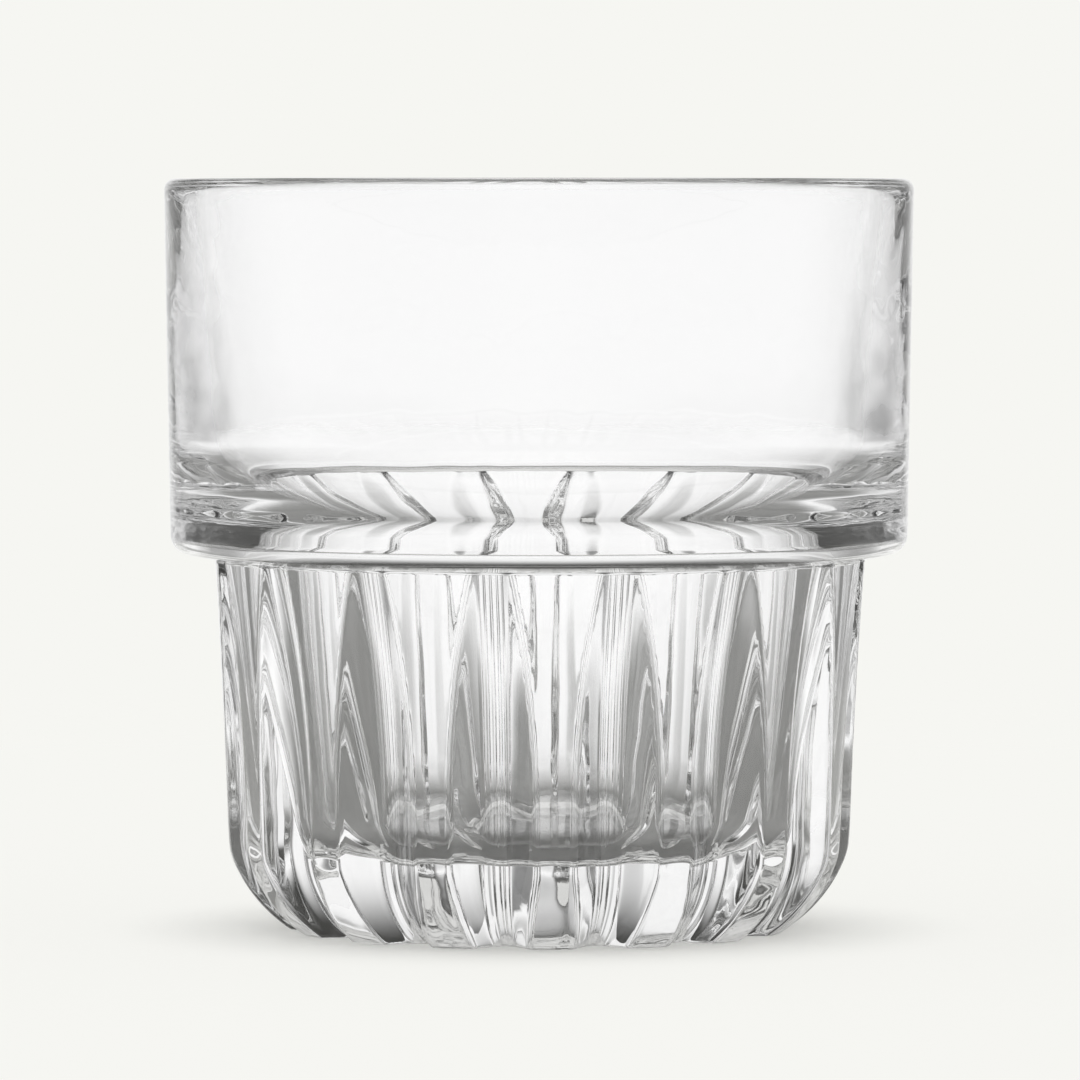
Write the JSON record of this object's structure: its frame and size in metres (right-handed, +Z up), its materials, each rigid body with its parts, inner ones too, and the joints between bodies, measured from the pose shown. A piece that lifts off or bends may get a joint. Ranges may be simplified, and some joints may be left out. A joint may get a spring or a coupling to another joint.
{
  "type": "cortado glass",
  "caption": "Stackable clear glass tumbler for short coffee drinks, with a plain drum collar over a narrower fluted body and a thick base.",
  "frame": {"origin": "centre of the foot on the table", "axes": "+Z up along the glass's axis, -Y towards the viewer of the picture"},
  "size_m": [0.079, 0.079, 0.0792],
  "materials": {
    "pressed_glass": "fire-polished"
  },
  "bodies": {
    "root": {"glass_tumbler": "pressed_glass"}
  },
  "joints": []
}
